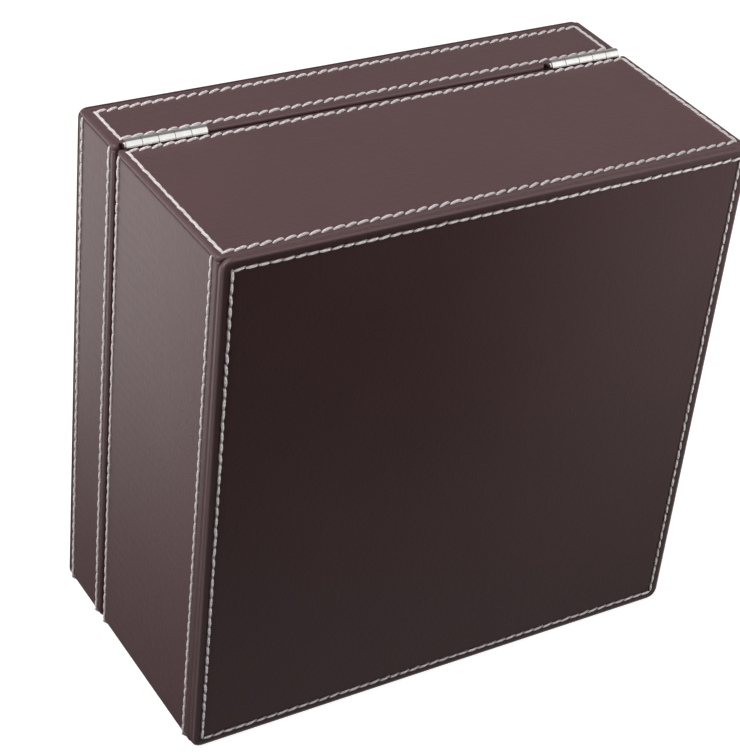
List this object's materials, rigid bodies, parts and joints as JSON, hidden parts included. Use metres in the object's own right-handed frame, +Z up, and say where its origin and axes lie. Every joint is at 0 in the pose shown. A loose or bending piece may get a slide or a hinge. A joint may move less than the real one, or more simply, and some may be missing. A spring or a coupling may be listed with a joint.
{
  "type": "watch display box",
  "caption": "Square leather-covered box with contrast stitching, a glass-topped lid on two butt hinges, and cushions in a divided tray inside.",
  "frame": {"origin": "on the table, midway across the box and midway between its front face and the outside of the hinge barrels at the back", "axes": "+Z up, +Y from the front to the hinged back, +X to the right seen from the front"},
  "size_m": [0.2, 0.1994, 0.104],
  "materials": {
    "leather": "dark brown imitation leather, fine grain, soft sheen, off-white stitching",
    "board": "fibreboard, stained dark",
    "lining": "dark brown velvet",
    "cushion_suede": "beige suede cloth",
    "nickel": "bright nickel plate",
    "glass": "clear polished"
  },
  "bodies": {
    "base": {"base_back_panel": "leather", "base_back_wall": "board", "base_band": "leather", "base_floor_board": "board", "base_front_wall": "board", "base_left_wall": "board", "base_lining_back": "lining", "base_lining_front": "lining", "base_lining_left": "lining", "base_lining_right": "lining", "base_right_wall": "board", "cross_divider_left": "lining", "cross_divider_right": "lining", "floor_lining": "lining", "hinge_base_leaf_left": "nickel", "hinge_base_leaf_right": "nickel", "hinge_base_screws": "nickel", "hinge_pin_left": "nickel", "hinge_pin_right": "nickel", "long_divider": "lining", "underside_panel": "leather"},
    "lid": {"glass_bead_back": "lining", "glass_bead_front": "lining", "glass_bead_left": "lining", "glass_bead_right": "lining", "glass_pane": "glass", "hinge_lid_leaf_left": "nickel", "hinge_lid_leaf_right": "nickel", "hinge_lid_screws": "nickel", "lid_back_panel": "leather", "lid_back_wall": "board", "lid_band": "leather", "lid_front_wall": "board", "lid_left_wall": "board", "lid_lining_back": "lining", "lid_lining_front": "lining", "lid_lining_left": "lining", "lid_lining_right": "lining", "lid_right_wall": "board", "lid_top_leather": "leather", "lid_top_rail_back": "board", "lid_top_rail_front": "board", "lid_top_rail_left": "board", "lid_top_rail_right": "board"},
    "cushion_1": {"cushion_1": "cushion_suede"},
    "cushion_2": {"cushion_2": "cushion_suede"},
    "cushion_3": {"cushion_3": "cushion_suede"},
    "cushion_4": {"cushion_4": "cushion_suede"},
    "cushion_5": {"cushion_5": "cushion_suede"},
    "cushion_6": {"cushion_6": "cushion_suede"}
  },
  "joints": [
    {"name": "lid_hinge", "type": "hinge", "parent": "base", "child": "lid", "pos_m": [0, 0.0975, 0.0747], "axis": [-1, 0, 0], "range_deg": [0, 95]},
    {"name": "cushion_1_lift", "type": "slide", "parent": "base", "child": "cushion_1", "axis": [0, 0, 1], "range_m": [0, 0.042]},
    {"name": "cushion_2_lift", "type": "slide", "parent": "base", "child": "cushion_2", "axis": [0, 0, 1], "range_m": [0, 0.042]},
    {"name": "cushion_3_lift", "type": "slide", "parent": "base", "child": "cushion_3", "axis": [0, 0, 1], "range_m": [0, 0.042]},
    {"name": "cushion_4_lift", "type": "slide", "parent": "base", "child": "cushion_4", "axis": [0, 0, 1], "range_m": [0, 0.042]},
    {"name": "cushion_5_lift", "type": "slide", "parent": "base", "child": "cushion_5", "axis": [0, 0, 1], "range_m": [0, 0.042]},
    {"name": "cushion_6_lift", "type": "slide", "parent": "base", "child": "cushion_6", "axis": [0, 0, 1], "range_m": [0, 0.042]}
  ]
}
